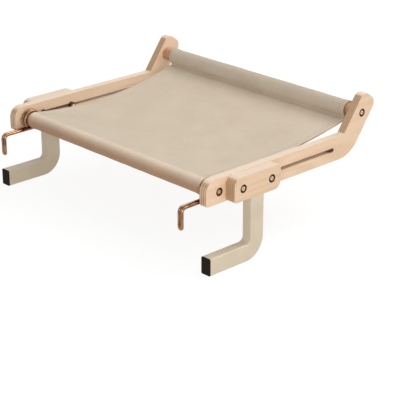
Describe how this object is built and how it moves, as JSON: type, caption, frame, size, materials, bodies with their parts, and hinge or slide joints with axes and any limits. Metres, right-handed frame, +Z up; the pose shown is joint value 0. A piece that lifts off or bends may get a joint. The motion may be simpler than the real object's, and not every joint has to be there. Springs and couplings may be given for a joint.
{
  "type": "cat hammock",
  "caption": "Window-sill cat hammock: a fabric sling on crossbars between upswept plywood arms, with swinging wire hooks and clamped sliding steel legs.",
  "frame": {"origin": "on the sill plane under the arms, midway between the two arms, at their front ends", "axes": "+X along the crossbars to the right arm, +Y from the hooked front end to the upswept rear end, +Z up"},
  "size_m": [0.5606, 0.443, 0.2164],
  "materials": {
    "birch_plywood": "clear satin lacquer, plies showing on the edges",
    "bar_wood": "turned hardwood, oiled",
    "beige_canvas": "plain-woven beige canvas",
    "cream_paint": "satin cream powder coat",
    "black_rubber": "matt black rubber",
    "bronze": "antique bronze plating",
    "dark_steel": "dark brown oxide on steel",
    "copper_wire": "polished rose-copper plating on steel wire"
  },
  "bodies": {
    "frame": {"left_arm": "birch_plywood", "right_arm": "birch_plywood", "front_crossbar": "bar_wood", "rear_crossbar": "bar_wood", "crossbar_inserts": "bronze", "crossbar_bolts": "bronze", "crossbar_washers": "dark_steel", "sling": "beige_canvas"},
    "left_leg": {"left_slider_block": "birch_plywood", "left_leg_bracket": "cream_paint", "left_leg_tube": "cream_paint", "left_foot_cap": "black_rubber", "left_clamp_bolts": "bronze", "left_head_washers": "dark_steel", "left_nut_washers": "bronze", "left_clamp_nuts": "bronze"},
    "right_leg": {"right_slider_block": "birch_plywood", "right_leg_bracket": "cream_paint", "right_leg_tube": "cream_paint", "right_foot_cap": "black_rubber", "right_clamp_bolts": "bronze", "right_head_washers": "dark_steel", "right_nut_washers": "bronze", "right_clamp_nuts": "bronze"},
    "left_hook": {"left_hook": "copper_wire"},
    "right_hook": {"right_hook": "copper_wire"}
  },
  "joints": [
    {"name": "left_leg_slide", "type": "slide", "parent": "frame", "child": "left_leg", "axis": [0, 1, 0], "range_m": [0, 0.17]},
    {"name": "right_leg_slide", "type": "slide", "parent": "frame", "child": "right_leg", "axis": [0, 1, 0], "range_m": [0, 0.17]},
    {"name": "left_hook_swing", "type": "hinge", "parent": "frame", "child": "left_hook", "pos_m": [-0.2365, 0.03, 0.02], "axis": [1, 0, 0], "range_deg": [-180, 90]},
    {"name": "right_hook_swing", "type": "hinge", "parent": "frame", "child": "right_hook", "pos_m": [0.2365, 0.03, 0.02], "axis": [1, 0, 0], "range_deg": [-180, 90]}
  ]
}
